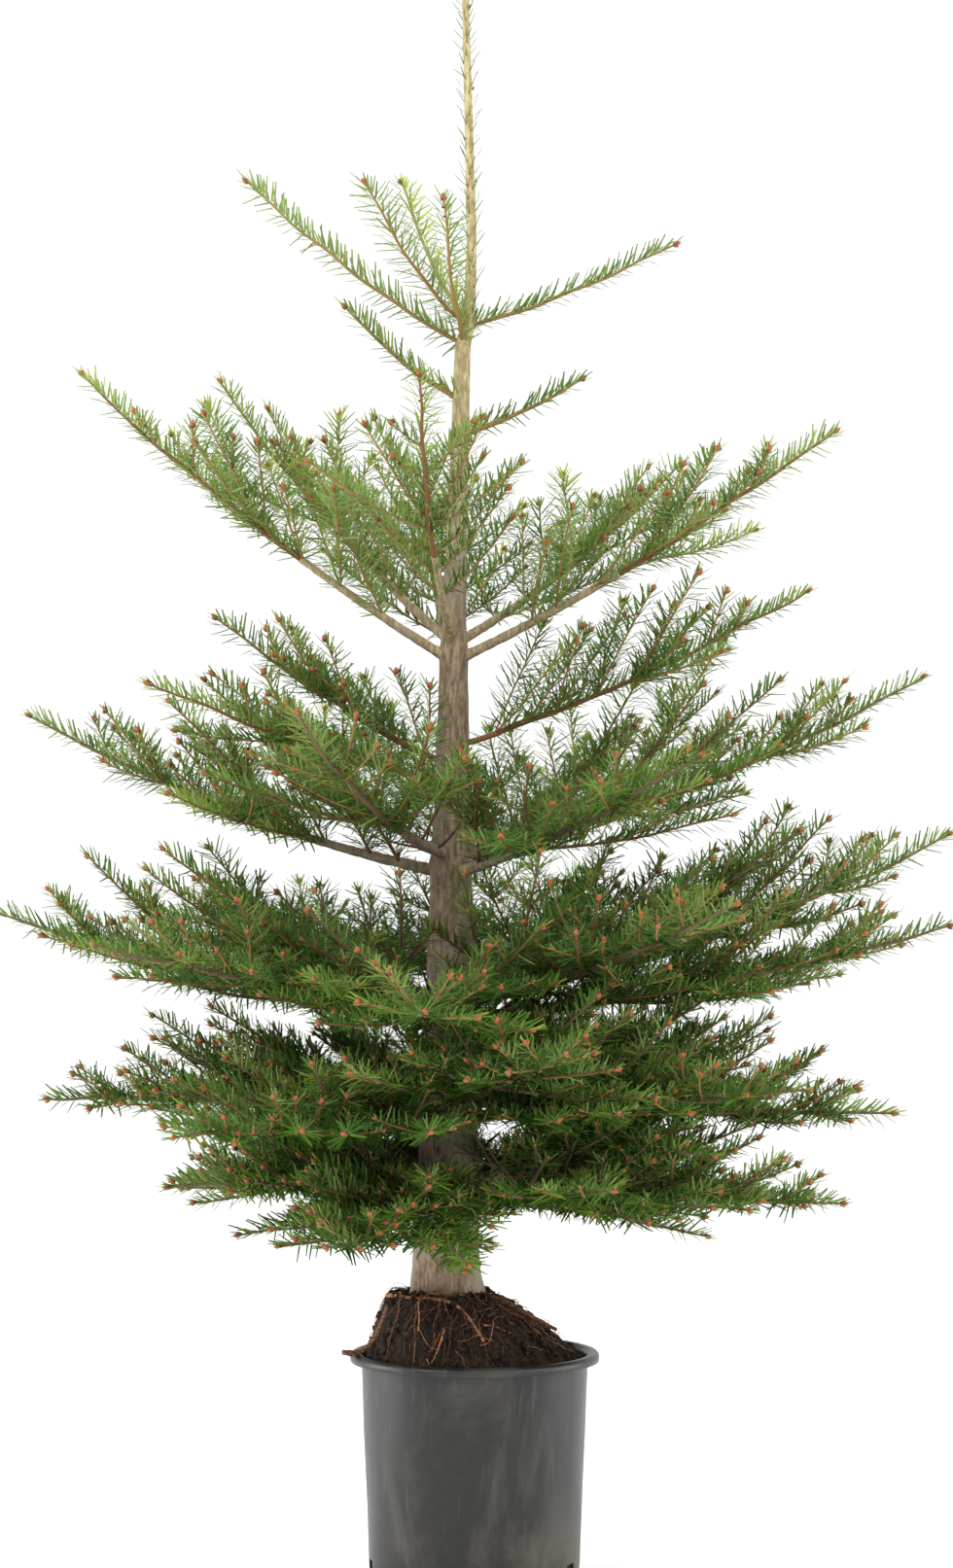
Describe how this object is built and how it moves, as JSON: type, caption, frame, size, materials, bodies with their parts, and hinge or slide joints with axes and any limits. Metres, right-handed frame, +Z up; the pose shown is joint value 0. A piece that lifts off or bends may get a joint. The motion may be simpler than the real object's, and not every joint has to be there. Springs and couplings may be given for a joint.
{
  "type": "potted nordmann fir",
  "caption": "Young potted fir tree: one tapering trunk with whorls of boughs and flat sprays of needles, rooted in a mound of soil in a round black nursery pot.",
  "frame": {"origin": "middle of the pot's flat underside", "axes": "+Z up along the trunk, +X to the viewer's right and -Y towards the viewer of the picture"},
  "size_m": [1.0292, 0.886, 1.787],
  "materials": {
    "pot": "matte",
    "soil": "matte",
    "bark": "matte",
    "roots": "matte",
    "needles": "satin"
  },
  "bodies": {
    "root": {"foliage_between_1": "needles", "foliage_between_2": "needles", "foliage_between_3": "needles", "foliage_between_4": "needles", "foliage_between_5": "needles", "foliage_between_6": "needles", "foliage_tier1_1": "needles", "foliage_tier1_2": "needles", "foliage_tier1_3": "needles", "foliage_tier1_4": "needles", "foliage_tier1_5": "needles", "foliage_tier2_1": "needles", "foliage_tier2_2": "needles", "foliage_tier2_3": "needles", "foliage_tier2_4": "needles", "foliage_tier2_5": "needles", "foliage_tier2_6": "needles", "foliage_tier3_1": "needles", "foliage_tier3_2": "needles", "foliage_tier3_3": "needles", "foliage_tier3_4": "needles", "foliage_tier3_5": "needles", "foliage_tier3_6": "needles", "foliage_tier4_1": "needles", "foliage_tier4_2": "needles", "foliage_tier4_3": "needles", "foliage_tier4_4": "needles", "foliage_tier4_5": "needles", "foliage_tier4_6": "needles", "foliage_tier4_7": "needles", "foliage_tier4_8": "needles", "foliage_tier5_1": "needles", "foliage_tier5_2": "needles", "foliage_tier5_3": "needles", "foliage_tier5_4": "needles", "foliage_tier5_5": "needles", "foliage_tier5_6": "needles", "foliage_tier5_7": "needles", "foliage_tier6_1": "needles", "foliage_tier6_2": "needles", "foliage_tier6_3": "needles", "foliage_tier6_4": "needles", "foliage_tier6_5": "needles", "foliage_tier6_6": "needles", "limb_tier2_1": "bark", "limb_tier2_2": "bark", "limb_tier2_3": "bark", "limb_tier2_4": "bark", "limb_tier2_5": "bark", "limb_tier2_6": "bark", "limb_tier3_1": "bark", "limb_tier3_4": "bark", "limb_tier3_5": "bark", "limb_tier3_6": "bark", "pot": "pot", "root_left": "roots", "root_loop": "roots", "root_right": "roots", "soil": "soil", "trunk": "bark"}
  },
  "joints": []
}
